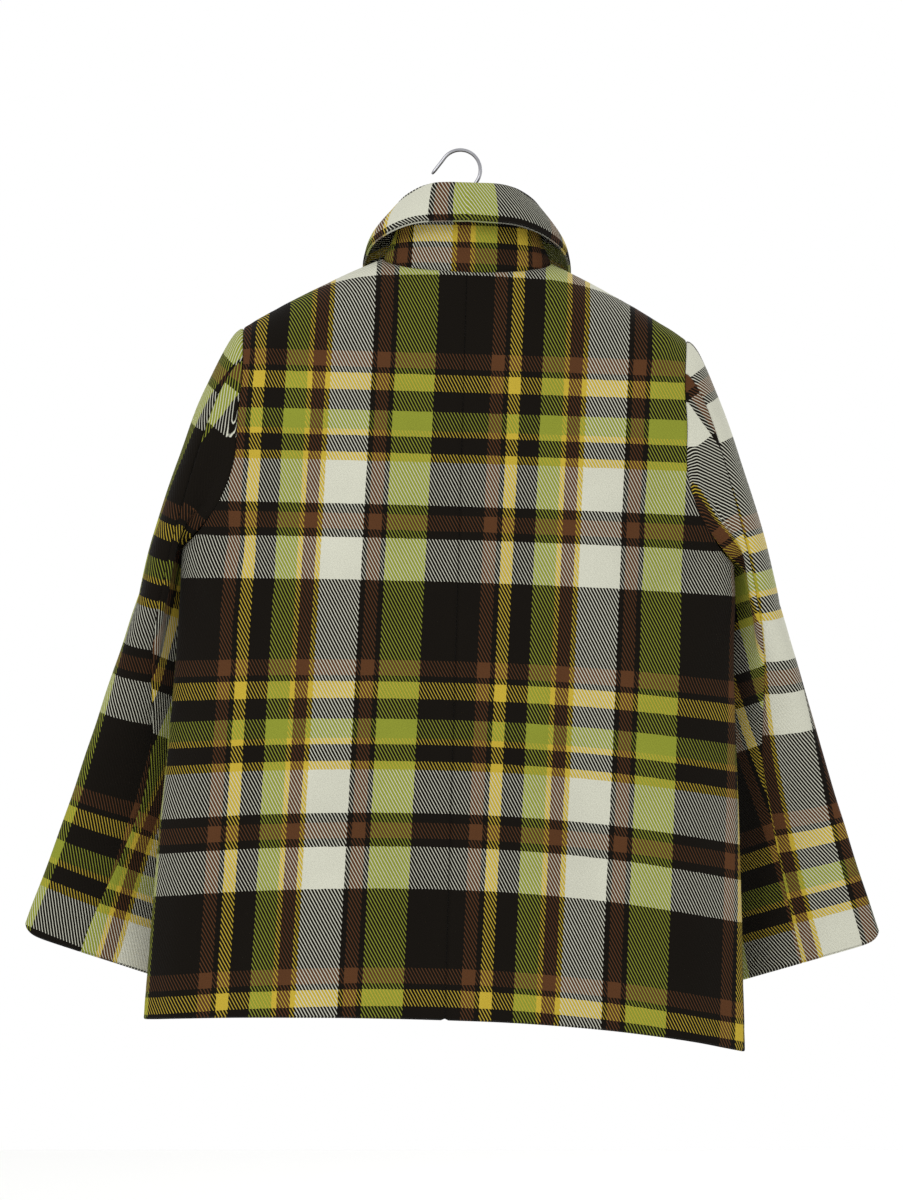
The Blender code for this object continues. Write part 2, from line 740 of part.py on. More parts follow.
def hook_path():
    """The middle of the hook's wire, from the bar to the tip."""
    centre = Vector((-HOOK_OFFSET, 0, WIRE / 2 - HOOK_RADIUS))

    def on_circle(a):
        return centre + HOOK_RADIUS * Vector((math.cos(a), 0, math.sin(a)))
    foot = Vector((STEM_X, 0, bar_z(STEM_X) - CLOTH - BAR_CLEAR + SEAM_GAP))
    stem_top = Vector((STEM_X, 0, STEM_TOP_Z))
    join = on_circle(STEM_JOIN)
    span = (join - stem_top).length
    join_run = Vector((-math.sin(STEM_JOIN), 0, math.cos(STEM_JOIN))) * span
    path = [foot, foot.lerp(stem_top, 0.5)]
    path += [hermite(stem_top, join, Vector((0, 0, span)), join_run, t / 4) for t in range(4)]
    path += [on_circle(mix(STEM_JOIN, HOOK_OPEN, i / HOOK_STEPS)) for i in range(HOOK_STEPS + 1)]
    path += [path[-1].lerp(HOOK_TIP, 0.5), HOOK_TIP]
    return path


def build_hook(hang):
    rings = swept_rings(hook_path(), lambda n: WIRE / 2, lambda n: WIRE / 2, WIRE_SIDES)
    points, faces = capped_tube(rings)
    make_object("hanger_hook", make_mesh("hanger_hook", points, faces), "steel", hang)


def clear_scene():
    for piece in list(bpy.data.objects):
        bpy.data.objects.remove(piece, do_unlink=True)


def main():
    clear_scene()
    hang = bpy.data.objects.new("hang", None)
    bpy.context.collection.objects.link(hang)
    hang.rotation_euler = (0, HANG_TILT, 0)
    build_cloth(hang)
    build_fall(hang)
    build_buttons(hang)
    build_bar(hang)
    build_hook(hang)


main()
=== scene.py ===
import math
from collections import namedtuple

import bpy
import numpy as np
from mathutils import Matrix, Vector, noise


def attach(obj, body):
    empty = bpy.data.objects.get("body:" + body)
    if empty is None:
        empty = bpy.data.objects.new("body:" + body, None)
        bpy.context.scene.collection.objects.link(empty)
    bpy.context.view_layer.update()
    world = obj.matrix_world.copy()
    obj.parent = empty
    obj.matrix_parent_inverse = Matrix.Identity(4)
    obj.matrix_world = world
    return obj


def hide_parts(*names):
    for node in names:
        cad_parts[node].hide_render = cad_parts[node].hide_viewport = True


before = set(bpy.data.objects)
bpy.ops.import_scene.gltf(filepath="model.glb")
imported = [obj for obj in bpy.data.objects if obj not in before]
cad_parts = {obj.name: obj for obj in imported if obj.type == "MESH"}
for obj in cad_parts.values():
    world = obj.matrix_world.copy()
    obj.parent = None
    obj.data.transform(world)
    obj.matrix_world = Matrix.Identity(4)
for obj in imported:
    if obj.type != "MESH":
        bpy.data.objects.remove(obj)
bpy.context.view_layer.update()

MM = 0.001

# ---- sizes shared with the CAD source
HANG_TILT = math.radians(1.7)
HOOK_OFFSET = 9.0
CLOTH = 3.0
NECK_HALF = 80.0
NECK_SIDE_Z = -104.0
NECK_BACK_Y = -42.0
NECK_BACK_Z = -116.0
NECK_FRONT_Y = 52.0
NECK_FRONT_Z = -180.0
SHOULDER_HALF = 212.0
SHOULDER_Z = -174.0
SHOULDER_CROWN = 3.0
SHOULDER_ROUND = 42.0
UNDERARM_Z = -387.0
BACK_SQUARE = 2.4
FRONT_SQUARE = 2.0
BACK_DEPTH_TOP = 46.0
FRONT_DEPTH_TOP = 54.0
HEM_Z = -826.0
HEM_DROP = {-1: 10.0, 1: 24.0}
LAP_ANGLE = -3.3
LAP_FLAT = 5.0
LAP_END = 10.0
LAP_STEP = CLOTH + 0.9
NECK_ANGLE = 28.0
CHEST_ROWS = 12
CHEST_CROWDING = 1.8

Armhole = namedtuple("Armhole", "at z back_x back_y front_x front_y")
ARMHOLE = (
    Armhole(0.00, -174, 212, 27, 212, 27),
    Armhole(0.19, -218, 211, 31, 199, 33),
    Armhole(0.36, -256, 214, 34, 193, 40),
    Armhole(0.55, -300, 216, 35, 194, 42),
    Armhole(0.73, -338, 228, 31, 207, 37),
    Armhole(0.88, -367, 247, 18, 232, 22),
    Armhole(1.00, -387, 264, 0, 264, 0),
)
Level = namedtuple("Level", "at half_width back front")
LEVELS = (
    Level(0.0, 264, 53, 57),
    Level(0.3, 269, 54, 58),
    Level(0.6, 278, 52, 56),
    Level(1.0, 288, 49, 53),
)
Fold = namedtuple("Fold", "face side angle width depth start")
FOLDS = (
    Fold("back", -1, 27, 9, 5.0, 0.25),
    Fold("back", -1, 58, 10, 6.0, 0.10),
    Fold("back", 1, 20, 9, 4.0, 0.40),
    Fold("back", 1, 50, 11, 6.5, 0.15),
    Fold("front", -1, 30, 10, 5.0, 0.20),
    Fold("front", -1, 62, 9, 6.0, 0.30),
    Fold("front", 1, 36, 11, 6.0, 0.15),
    Fold("front", 1, 66, 9, 5.0, 0.35),
)
Ring = namedtuple("Ring", "at outer_x outer_z half_width half_depth slope centre_y turn")
RINGS = (
    Ring(0.00, 306, -428, 68.5, 31, 8, 44, 72),
    Ring(0.33, 340, -536, 67, 32, 15, 57, 50),
    Ring(0.66, 374, -643, 69, 26, 17, 60, 32),
    Ring(1.00, 411, -751, 73, 23, 17, 48, 12),
)
Leave = namedtuple("Leave", "at x y z")
LEAVES = (
    Leave(0, 70, 0, -10),
    Leave(6, 84, -9, -36),
    Leave(10, 82, 30, -16),
    Leave(12, 36, 11, -9),
    Leave(14, 15, 51, -47),
    Leave(18, 34, 58, -13),
    Leave(24, 70, 0, -10),
)
CAP_ARRIVES = Vector((0.15, 0.06, -0.95))
CAP_PULL = 0.7
ROOM_TOP_Z = -256.0
ROOM_LOW_Z = -388.0
ROOM_HIGH = -45.0
Room = namedtuple("Room", "at room")
ROOMS = (Room(0, 14), Room(9, 14), Room(12, 9), Room(24, 9))
ROOM_SOFT = 0.02
ROOM_START = 0.3
Swing = namedtuple("Swing", "degrees stretch")
SWINGS = {-1: Swing(-0.5, 1.012), 1: Swing(0.9, 0.990)}
BACK_SEAM = 4
UNDERARM_SEAM = CHEST_ROWS
FRONT_SEAM = CHEST_ROWS + 5
Turn = namedtuple("Turn", "column arm elbow cuff")
TURNS = (
    Turn(0, 0, 0, 0),
    Turn(BACK_SEAM, 70, 100, 89),
    Turn(UNDERARM_SEAM, 124, 150, 140),
    Turn(FRONT_SEAM, 208, 208, 208),
    Turn(2 * CHEST_ROWS, 360, 360, 360),
)
ELBOW = 0.5
CUFF_TURN = 9.0
CUFF_LIFT = 0.026
CUFF_LIFT_WIDTH = 0.08
Collar = namedtuple("Collar", "at top_x top_y top_z edge_x edge_y edge_z")
COLLAR = (
    Collar(0, 0, -33, -38, 0, -54, -67),
    Collar(30, 32, -29, -39, 49, -49, -70),
    Collar(60, 53, -17, -48, 83, -27, -84),
    Collar(90, 62, 2, -62, 96, 2, -100),
    Collar(120, 54, 30, -84, 96, 44, -122),
    Collar(150, 31, 50, -110, 68, 70, -166),
    Collar(180, 1.5, 57, -132, 26, 86, -204),
)
SEAM_GAP = 0.3
FOLD_RADIUS = 5.0
FOLD_TURN = math.radians(140)
FALL_PULL = 0.9
FALL_END = Vector((0, 0, -1))
BUTTON_COUNT = 5
BUTTON_TOP_Z = -225.0
BUTTON_PITCH = 105.0
BUTTON_THICK = 4.5
BUTTON_DISH = 1.5
BAR_CLEAR = 0.45
WIRE = 3.6
HOOK_RADIUS = 19.1
STEM_X = 4.3
STEM_TOP_Z = -46.0
STEM_JOIN = math.radians(-35)
HOOK_OPEN = math.radians(150)
HOOK_TIP = Vector((-36.0, 0, -22.0))

# ---- how finely the cloth is drawn
CHEST_STEPS = 60
SKIRT_STEPS = 96
BACK_STEPS = 66
FRONT_STEPS = 72
ARM_CAP_STEPS = 52
ARM_STEPS = 76
ARM_FINE = 4
STAND_STEPS = 16
FOLD_STEPS = 12
FALL_STEPS = 14
NECK_STEPS = 54
SEAM_LINES = (0.22, 0.55)
RIM_STEPS = 4
RIM_CLOTH_STEP = 0.4
STEM_STEPS = 8
JOIN_STEPS = 12
BEND_STEPS = 48
TIP_STEPS = 8
HOOK_SIDES = 20
TIP_NEXT = 0.9
TIP_END = 0.55
THREAD_POINTS = 7

# ---- the plaid: stripes in millimetres, in the order in which they lie
PX = 0.95
WARP = (("black", 55), ("brown", 13), ("black", 5), ("gold", 12.5), ("black", 21), ("green", 22),
        ("gold", 5), ("brown", 13), ("gold", 5), ("cream", 41), ("black", 5), ("brown", 13),
        ("black", 5), ("green", 40))
WEFT = (("black", 78), ("brown", 16), ("black", 6), ("gold", 17), ("black", 20), ("green", 19),
        ("gold", 7), ("black", 16), ("gold", 9), ("cream", 43), ("black", 9), ("brown", 16),
        ("black", 8), ("cream", 43))
WARP_START = -27.5 * PX
WEFT_START = 119.8
YARNS = {
    "cream": (0.55, 0.55, 0.455),
    "black": (0.006, 0.0045, 0.003),
    "brown": (0.085, 0.034, 0.013),
    "gold": (0.46, 0.335, 0.035),
    "green": (0.225, 0.25, 0.028),
}
TWILL_ACROSS = 3.1
TWILL_DOWN = 5.4

# ---- cloth coordinates of the panels
CLOTH_DROP = {-1: 15.5, 1: 23.0}
Share = namedtuple("Share", "at share")
DROP_SHARES = (Share(-0.4, 0.0), Share(0.0, 0.15), Share(0.25, 0.5), Share(0.47, 0.78), Share(0.68, 0.95),
               Share(1.0, 1.0))
DRIFT_TOP_Z = -153.0
DRIFT = 0.0194
SPREAD = 0.0345
Grain = namedtuple("Grain", "lean outer_u outer_drift weft_start under_u")
GRAINS = {-1: Grain(15.65, -46.0, 0.018, 613.1, 96.0), 1: Grain(14.0, 151.0, 0.066, 610.2, 14.0)}
DRIFT_START = 330.0
UNDER_TURN = math.radians(11.5)
FALL_CENTRE_U = -52.7
FALL_EDGE_V = 4.5
STAND_CENTRE_U = 103.5
STAND_FOOT_V = 66.5
NECK_TUCK = 0.8
# A painted highlight: the fall's rim takes a cream stripe and peeps out below its lower edge, giving a
# bright line where the rim faces down into shade
HIGHLIGHT_EDGE_V = {"cloth_collar_fall": -14.0}
HIGHLIGHT_EDGE_PEEP = 1.1


def mix(a, b, t):
    return a + (b - a) * t


def smooth_step(t):
    t = min(max(t, 0.0), 1.0)
    return t * t * (3 - 2 * t)


def hermite(start, end, leave, arrive, t):
    t2, t3 = t * t, t * t * t
    return (start * (2 * t3 - 3 * t2 + 1) + leave * (t3 - 2 * t2 + t)
            + end * (3 * t2 - 2 * t3) + arrive * (t3 - t2))


def read(table, column, at):
    """A smooth curve through one column of a table, by its 'at' column."""
    last = len(table) - 1
    at = min(max(at, table[0].at), table[last].at)
    i = 0
    while i < last - 1 and at > table[i + 1].at:
        i += 1
    a, b = table[i], table[i + 1]
    span = b.at - a.at
    value_a, value_b = getattr(a, column), getattr(b, column)
    before, after = table[max(i - 1, 0)], table[min(i + 2, last)]
    slope_a = (value_b - getattr(before, column)) / (b.at - before.at)
    slope_b = (getattr(after, column) - value_a) / (after.at - a.at)
    return hermite(value_a, value_b, slope_a * span, slope_b * span, (at - a.at) / span)


def rounded(share, square):
    return max(0.0, 1 - min(abs(share), 1.0) ** square) ** (1 / square)


def collar_angle(face, angle):
    quarter = 90 * max(angle, 0) / NECK_ANGLE
    return quarter if face == "back" else 180 - quarter


def neck_point(turn):
    a = math.radians(turn)
    round_neck = abs(math.cos(a))
    x = NECK_HALF * math.sin(a)
    if turn <= 90:
        return Vector((x, NECK_BACK_Y * round_neck, mix(NECK_SIDE_Z, NECK_BACK_Z, round_neck)))
    return Vector((x, NECK_FRONT_Y * math.sqrt(round_neck), mix(NECK_SIDE_Z, NECK_FRONT_Z, round_neck ** 2)))


def shoulder_z(x):
    share = (x - NECK_HALF) / (SHOULDER_HALF - NECK_HALF)
    return mix(NECK_SIDE_Z, SHOULDER_Z, share) + SHOULDER_CROWN * math.sin(math.pi * share)


def top_point(face, angle):
    if angle <= NECK_ANGLE:
        point = neck_point(collar_angle(face, abs(angle)))
        point.x = math.copysign(point.x, angle)
        return point
    x = mix(NECK_HALF, SHOULDER_HALF, (angle - NECK_ANGLE) / (90 - NECK_ANGLE))
    return Vector((x, 0, shoulder_z(x)))


def ring_point(face, angle, level, z):
    square = BACK_SQUARE if face == "back" else FRONT_SQUARE
    a = math.radians(angle)
    share = math.copysign(abs(math.sin(a)) ** (2 / square), a)
    y = read(LEVELS, face, level) * rounded(share, square)
    return Vector((share * read(LEVELS, "half_width", level), y if face == "front" else -y, z))


def lap_inset(face, side, angle):
    if face != "front" or side > 0:
        return 0.0
    return LAP_STEP * smooth_step((LAP_END - angle) / (LAP_END - LAP_FLAT))


def placed(point, face, side, angle):
    return Vector((side * point.x, point.y - lap_inset(face, side, angle), point.z))


def chest_point(face, side, angle, down):
    """A chest point, and the depth that it would have without the rounding of the shoulder."""
    top = top_point(face, angle)
    bottom = ring_point(face, angle, 0, UNDERARM_Z)
    arm_x, arm_z = read(ARMHOLE, face + "_x", down), read(ARMHOLE, "z", down)
    pull = max(angle, 0) / 90
    late = down ** (1 + 2 * pull)
    x = mix(top.x, bottom.x, late) + pull * (arm_x - mix(SHOULDER_HALF, ARMHOLE[-1].back_x, late))
    z = mix(top.z, bottom.z, down) + pull * (arm_z - mix(SHOULDER_Z, UNDERARM_Z, down))
    square = BACK_SQUARE if face == "back" else FRONT_SQUARE
    depth_top = BACK_DEPTH_TOP if face == "back" else FRONT_DEPTH_TOP
    depth = mix(depth_top, read(LEVELS, face, 0), down)
    reach = arm_x / rounded(read(ARMHOLE, face + "_y", down) / depth, square)
    plane = depth * rounded(x / reach, square) * (1 if face == "front" else -1)
    fallen = min((top.z - z) / SHOULDER_ROUND, 1.0)
    y = mix(top.y, plane, math.sqrt(max(0.0, 1 - (1 - fallen) ** 2)))
    return placed(Vector((x, y, z)), face, side, angle), plane


def fold_swell(face, side, angle, level):
    swell = 0.0
    for fold in FOLDS:
        if (fold.face, fold.side) == (face, side):
            near = math.exp(-((angle - fold.angle) / fold.width) ** 2)
            swell += fold.depth * near * smooth_step((level - fold.start) / (1 - fold.start))
    return swell


def skirt_point(face, side, angle, level):
    a = math.radians(max(angle, 0))
    hem = HEM_Z - HEM_DROP[side] * math.sin(a) ** 2
    point = ring_point(face, angle, level, mix(UNDERARM_Z, hem, level))
    swell = fold_swell(face, side, angle, level)
    point.x += swell * math.sin(a)
    point.y += swell * math.cos(a) * (1 if face == "front" else -1)
    return placed(point, face, side, angle)


def turn_degrees(side, turn, at):
    if at < ELBOW:
        return mix(turn.arm, turn.elbow, smooth_step(at / ELBOW))
    cuff = turn.cuff + (side * CUFF_TURN if turn.column == BACK_SEAM else 0)
    return mix(turn.elbow, cuff, smooth_step((at - ELBOW) / (1 - ELBOW)))


def armhole_turn(side, column, at):
    for a, b in zip(TURNS, TURNS[1:]):
        if column <= b.column:
            share = (column - a.column) / (b.column - a.column)
            return math.radians(mix(turn_degrees(side, a, at), turn_degrees(side, b, at), share))
    return 2 * math.pi


def sleeve_ring_point(turn, at):
    at *= 1 - CUFF_LIFT * math.exp((math.cos(turn) - 1) / CUFF_LIFT_WIDTH)
    slope = math.radians(read(RINGS, "slope", at))
    plan = math.radians(read(RINGS, "turn", at))
    half = read(RINGS, "half_width", at)
    depth = read(RINGS, "half_depth", at)
    along = Vector((math.cos(plan) * math.cos(slope), -math.sin(plan) * math.cos(slope), math.sin(slope)))
    back = Vector((-math.sin(plan), -math.cos(plan), 0))
    reach = math.hypot(half * along.x, depth * back.x)
    centre = Vector((read(RINGS, "outer_x", at) - reach, read(RINGS, "centre_y", at),
                     read(RINGS, "outer_z", at) - half * along.z * half * along.x / reach))
    turn += math.atan2(depth * back.x, half * along.x)
    return centre + along * half * math.cos(turn) + back * depth * math.sin(turn)


def kept_clear(point, column, weight):
    level = (UNDERARM_Z - point.z) / (UNDERARM_Z - HEM_Z)
    low = smooth_step((ROOM_TOP_Z - point.z) / (ROOM_TOP_Z - ROOM_LOW_Z))
    room = mix(ROOM_HIGH, read(ROOMS, "room", column), low)
    half = read(LEVELS, "half_width", level) + room
    depth = read(LEVELS, "front", level) + room
    share = math.hypot(point.x / half, point.y / depth)
    soft = ROOM_SOFT * math.log(1 + math.exp(min((share - 1) / ROOM_SOFT, 50)))
    push = mix(1.0, max(1.0, (1 + soft) / share), weight)
    return Vector((point.x * push, point.y * push, point.z))


def swung(point, side, weight):
    swing = SWINGS[side]
    angle = math.radians(swing.degrees) * weight
    stretch = mix(1.0, swing.stretch, weight)
    x, z = (point.x - SHOULDER_HALF) * stretch, (point.z - SHOULDER_Z) * stretch
    return Vector((side * (SHOULDER_HALF + x * math.cos(angle) - z * math.sin(angle)), point.y,
                   SHOULDER_Z + x * math.sin(angle) + z * math.cos(angle)))


def armhole_point(column):
    face = "back" if column <= UNDERARM_SEAM else "front"
    row = column if face == "back" else 2 * CHEST_ROWS - column
    return chest_point(face, 1, 90, (row / CHEST_ROWS) ** CHEST_CROWDING)[0]


def sleeve_point(side, column, down):
    """A sleeve point, from the armhole (0) over the upper arm (1) to the cuff (2)."""
    if down > 1:
        ring = sleeve_ring_point(armhole_turn(side, column, down - 1), down - 1)
        return swung(kept_clear(ring, column, 1.0), side, 1.0)
    start = armhole_point(column)
    end = sleeve_ring_point(armhole_turn(side, column, 0), 0)
    leave = Vector([read(LEAVES, axis, column) for axis in "xyz"])
    arrive = CAP_ARRIVES * (end - start).length * CAP_PULL
    point = hermite(start, end, leave, arrive, down)
    return swung(kept_clear(point, column, smooth_step(down / ROOM_START)), side, smooth_step(down))


def collar_row_point(kind, side, turn):
    return Vector((side * read(COLLAR, kind + "_x", turn), read(COLLAR, kind + "_y", turn),
                   read(COLLAR, kind + "_z", turn)))


def stand_outward(side, turn):
    step = 2.0
    ahead = collar_row_point("top", side, min(turn + step, 180))
    behind = collar_row_point("top", side, max(turn - step, 0))
    run = ahead - behind
    return Vector((side * run.y, -side * run.x, 0)).normalized()


# ---- cloth as grids of points, with cloth coordinates

Skin = namedtuple("Skin", "points cloth free")


def edge_spaced(count):
    """Even steps from 0 to 1, with extra lines beside both ends for the seams."""
    even = [i / count for i in range(1, count)]
    close = [step / count for step in (0.0, *SEAM_LINES)]
    return close + even + [1 - step for step in reversed(close)]


def run_length(points):
    """The length along the last but one axis of a grid of points."""
    steps = np.linalg.norm(np.diff(points, axis=-2), axis=-1)
    start = np.zeros(steps.shape[:-1] + (1,))
    return np.concatenate([start, np.cumsum(steps, axis=-1)], axis=-1)


def body_skin(face, side):
    """One front or back, from the top edges to the hem, with its sides' cloth coordinates."""
    first = LAP_ANGLE if face == "front" else 0.0
    steps = BACK_STEPS if face == "back" else FRONT_STEPS
    angles = [mix(first, 90, t) for t in edge_spaced(steps)]
    downs = [t ** CHEST_CROWDING for t in edge_spaced(CHEST_STEPS)[:-2]]
    levels = edge_spaced(SKIRT_STEPS)[3:]
    points, planes = [], []
    for down in downs + [1.0]:
        row = [chest_point(face, side, angle, down) for angle in angles]
        points.append([p for p, _ in row])
        planes.append([plane for _, plane in row])
    chest_rows = len(points)
    for level in levels:
        row = [skirt_point(face, side, angle, level) for angle in angles]
        points.append(row)
        planes.append([p.y for p in row])
    points, planes = np.array(points), np.array(planes)
    flat = np.stack([points[..., 0], planes], axis=-1)
    across = run_length(flat)
    middle = [np.interp(0.0, side * row[:, 0], length) for row, length in zip(points, across)]
    across -= np.array(middle)[:, None]
    rise = np.stack([points[..., 1] - planes, points[..., 2]], axis=-1).swapaxes(0, 1)
    along = run_length(rise).T
    down_cloth = along - along[chest_rows - 1] - UNDERARM_Z
    down_cloth[chest_rows:] = -points[chest_rows:, :, 2]
    level = (UNDERARM_Z - points[..., 2]) / (UNDERARM_Z - HEM_Z)
    drop = CLOTH_DROP[side] * np.interp(level, [s.at for s in DROP_SHARES], [s.share for s in DROP_SHARES])
    down_cloth -= drop * (points[..., 0] / ARMHOLE[-1].back_x) ** 2
    across *= side if face == "back" else -side
    if face == "back":
        fallen = np.maximum(DRIFT_TOP_Z - points[..., 2], 0)
        across += fallen * DRIFT - points[..., 0] * fallen / (DRIFT_TOP_Z - HEM_Z) * SPREAD
    free = {"bottom"} if face == "back" else {"bottom", "first"}
    return Skin(points, np.stack([across, down_cloth - WEFT_START], axis=-1), free)


def sleeve_skins(side):
    """The top and the under sleeve, which meet along the back and the front seam."""
    cap = edge_spaced(ARM_CAP_STEPS)[:-3]
    arm = [1 + t for t in edge_spaced(ARM_STEPS)]
    rows = cap + arm[:1] + arm[3:]
    whole = 2 * CHEST_ROWS
    fine = [k / ARM_FINE for k in range(whole * ARM_FINE)]
    points = np.array([[sleeve_point(side, k, t) for k in fine] for t in rows])
    grain = GRAINS[side]
    lean = math.radians(grain.lean)
    axis = np.array((side * math.sin(lean), 0, -math.cos(lean)))
    skins = {}
    under = list(range(FRONT_SEAM * ARM_FINE + 1))
    over = list(range(FRONT_SEAM * ARM_FINE - whole * ARM_FINE, BACK_SEAM * ARM_FINE + 1))
    cap_rows = len(cap)
    for name, chosen in (("under", under), ("top", over)):
        part = points[:, chosen]
        along = part @ axis
        rise = np.linalg.norm(np.diff(part[:cap_rows + 1], axis=0), axis=-1)
        along[:cap_rows] = along[cap_rows] - np.cumsum(rise[::-1], axis=0)[::-1]
        run = np.linalg.norm(np.diff(part, axis=1), axis=-1) ** 2 - np.diff(part @ axis, axis=1) ** 2
        run[:cap_rows] = run[cap_rows]
        steps = np.sqrt(np.maximum(run, 0))
        around = np.concatenate([np.zeros((len(rows), 1)), np.cumsum(steps, axis=1)], axis=1)
        around -= around[:, [chosen.index(0)]]
        outer = grain.outer_u + grain.outer_drift * (along - DRIFT_START)
        across = outer - side * around
        down = along - grain.weft_start
        if name == "under":
            seam = BACK_SEAM * ARM_FINE
            part = part[:, seam:]
            across, down = turned_grain(around[:, seam:], down[:, seam:], grain.under_u, side)
        part, cloth = seam_lines(part, relaxed(part, np.stack([across, down], axis=-1)))
        skins[name] = Skin(part, cloth, {"bottom"})
    return skins


def turned_grain(around, down, seam_u, side):
    """Cloth coordinates turned about the seam's lower end, as the under sleeve is cut at a slant."""
    inward, below = around - around[-1, 0], down - down[-1, 0]
    across = inward * math.cos(UNDER_TURN) + below * math.sin(UNDER_TURN)
    return seam_u - side * across, down - inward * math.sin(UNDER_TURN)


RELAX_ROUNDS = 700
RELAX_SHARE = 0.3
RELAX_STRIDES = (8, 4)


def relaxed(points, cloth):
    """Cloth coordinates eased until their lengths are those of the cloth itself, first on a wide grid."""
    rows, columns = points.shape[:2]
    eased = cloth
    for stride in RELAX_STRIDES:
        down = sorted({*range(0, rows, stride), rows - 1})
        across = sorted({*range(0, columns, stride), columns - 1})
        at = np.ix_(down, across)
        shift = eased_once(points[at], eased[at]) - eased[at]
        eased = eased + spread_out(shift, down, across, rows, columns)
    return eased


def spread_out(shift, down, across, rows, columns):
    """Values on a wide grid, carried over to every row and column."""
    full = []
    for k in (0, 1):
        wide = np.array([np.interp(range(rows), down, line) for line in shift[..., k].T])
        full.append([np.interp(range(columns), across, line) for line in wide.T])
    return np.array(full).transpose(1, 2, 0)


def eased_once(points, cloth):
    """Cloth coordinates drawn towards their true lengths along, across and on both diagonals."""
    rows, columns = points.shape[:2]
    eased = cloth.copy()
    pairs = []
    for down, across in ((0, 1), (1, 0), (1, 1), (1, -1)):
        first = (slice(0, rows - down), slice(max(-across, 0), columns - max(across, 0)))
        second = (slice(down, rows), slice(max(across, 0), columns - max(-across, 0)))
        pairs.append((first, second, np.linalg.norm(points[second] - points[first], axis=-1)))
    for _ in range(RELAX_ROUNDS):
        shift = np.zeros_like(eased)
        for first, second, rest in pairs:
            run = eased[second] - eased[first]
            length = np.maximum(np.linalg.norm(run, axis=-1), 1e-6)
            pull = run * (RELAX_SHARE * (length - rest) / length)[..., None]
            shift[first] += pull / 2
            shift[second] -= pull / 2
        eased += shift
    return eased


def seam_lines(points, cloth):
    """Adds two lines of points beside the first and the last column, for the seams."""
    def added(grid):
        first = [mix(grid[:, 0], grid[:, 1], t) for t in SEAM_LINES]
        last = [mix(grid[:, -1], grid[:, -2], t) for t in reversed(SEAM_LINES)]
        columns = [grid[:, 0], *first, *grid[:, 1:-1].swapaxes(0, 1), *last, grid[:, -1]]
        return np.stack(columns, axis=1)
    return added(points), added(cloth)


def collar_turns():
    """Angles round the neck from the left end to the right one, with lines beside the ends."""
    half = [180 * t for t in edge_spaced(NECK_STEPS)[:-1]] + [180.0]
    return [(-1, turn) for turn in reversed(half)] + [(1, turn) for turn in half[1:]]


def neck_seam_point(side, turn):
    """The foot of the stand, set in where the left front lies under the right one."""
    point = neck_point(turn)
    angle = (180 - turn) * NECK_ANGLE / 90
    inset = lap_inset("front", side, angle) if turn > 90 else 0.0
    return Vector((side * point.x, point.y - inset, point.z))


def stand_skin():
    rows = []
    columns = collar_turns()
    for t in edge_spaced(STAND_STEPS):
        rows.append([neck_seam_point(s, a).lerp(collar_row_point("top", s, a), t) for s, a in columns])
    points = np.array(rows)
    points[0] += (0, 0, -NECK_TUCK)
    across = centred_run(points, columns)
    up = run_length(points.swapaxes(0, 1)).T
    cloth = relaxed(points, np.stack([-across, up], axis=-1))
    cloth -= cloth[0, columns.index((-1, 0.0))]
    return Skin(points, cloth + (STAND_CENTRE_U, STAND_FOOT_V), {"first", "last"})


def centred_run(points, columns):
    """The length along each collar row, from centre back, positive towards the wearer's right."""
    length = run_length(points)
    return length - length[:, [columns.index((-1, 0.0))]]


def fall_skin():
    columns = collar_turns()
    grid = []
    for side, turn in columns:
        outward = stand_outward(side, turn)
        root = collar_row_point("top", side, turn) - outward * CLOTH / 2 + Vector((0, 0, SEAM_GAP))
        axis = root + outward * FOLD_RADIUS
        line = []
        for i in range(FOLD_STEPS + 1):
            bend = FOLD_TURN * i / FOLD_STEPS
            line.append(axis + FOLD_RADIUS * (Vector((0, 0, math.sin(bend))) - outward * math.cos(bend)))
        edge = collar_row_point("edge", side, turn)
        pull = (edge - line[-1]).length * FALL_PULL
        leave = (outward * math.sin(FOLD_TURN) + Vector((0, 0, math.cos(FOLD_TURN)))) * pull
        for t in edge_spaced(FALL_STEPS)[3:]:
            line.append(hermite(line[FOLD_STEPS], edge, leave, FALL_END * pull, t))
        grid.append(line)
    points = np.array(grid).swapaxes(0, 1)
    across = centred_run(points, columns)
    along = run_length(points.swapaxes(0, 1)).T
    cloth = relaxed(points, np.stack([across, along], axis=-1))
    cloth -= cloth[-1, columns.index((-1, 0.0))]
    cloth[..., 1] = along - along[-1]
    return Skin(points[::-1], cloth[::-1] + (FALL_CENTRE_U, FALL_EDGE_V), {"first", "last", "top"})


# ---- from grids to closed walls of cloth

def grid_normals(points):
    down = np.gradient(points, axis=0)
    across = np.gradient(points, axis=1)
    normals = np.cross(across, down)
    return normals / np.maximum(np.linalg.norm(normals, axis=-1, keepdims=True), 1e-9)


Ripple = namedtuple("Ripple", "swell size seed")
BODY_RIPPLE = Ripple(0.7, 55.0, 1)
SLEEVE_RIPPLE = Ripple(0.9, 48.0, 2)
STAND_RIPPLE = Ripple(0.5, 30.0, 7)
FALL_RIPPLE = Ripple(0.5, 34.0, 8)
CREASE_RIPPLE = Ripple(0.6, 38.0, 5)
SEED_STEP = 17.3


def ripple(points, size, seed):
    """Smooth noise from -1 to 1 at each point of a grid."""
    flat = points.reshape(-1, 3) / size + seed * SEED_STEP
    return np.array([noise.noise(Vector(p)) for p in flat]).reshape(points.shape[:2])


def rippled(points, kind):
    return kind.swell * ripple(points, kind.size, kind.seed)


SEAM_SINK = ((0.0, 1.2), (1.2, 0.5), (3.2, 0.1), (6.0, 0.0))
SEAM_INSET = 0.2
SEAM_PUCKER = 0.35
PUCKER_SIZE = 11.0
PUCKER_REACH = 14.0
PUCKER_SEED = 3


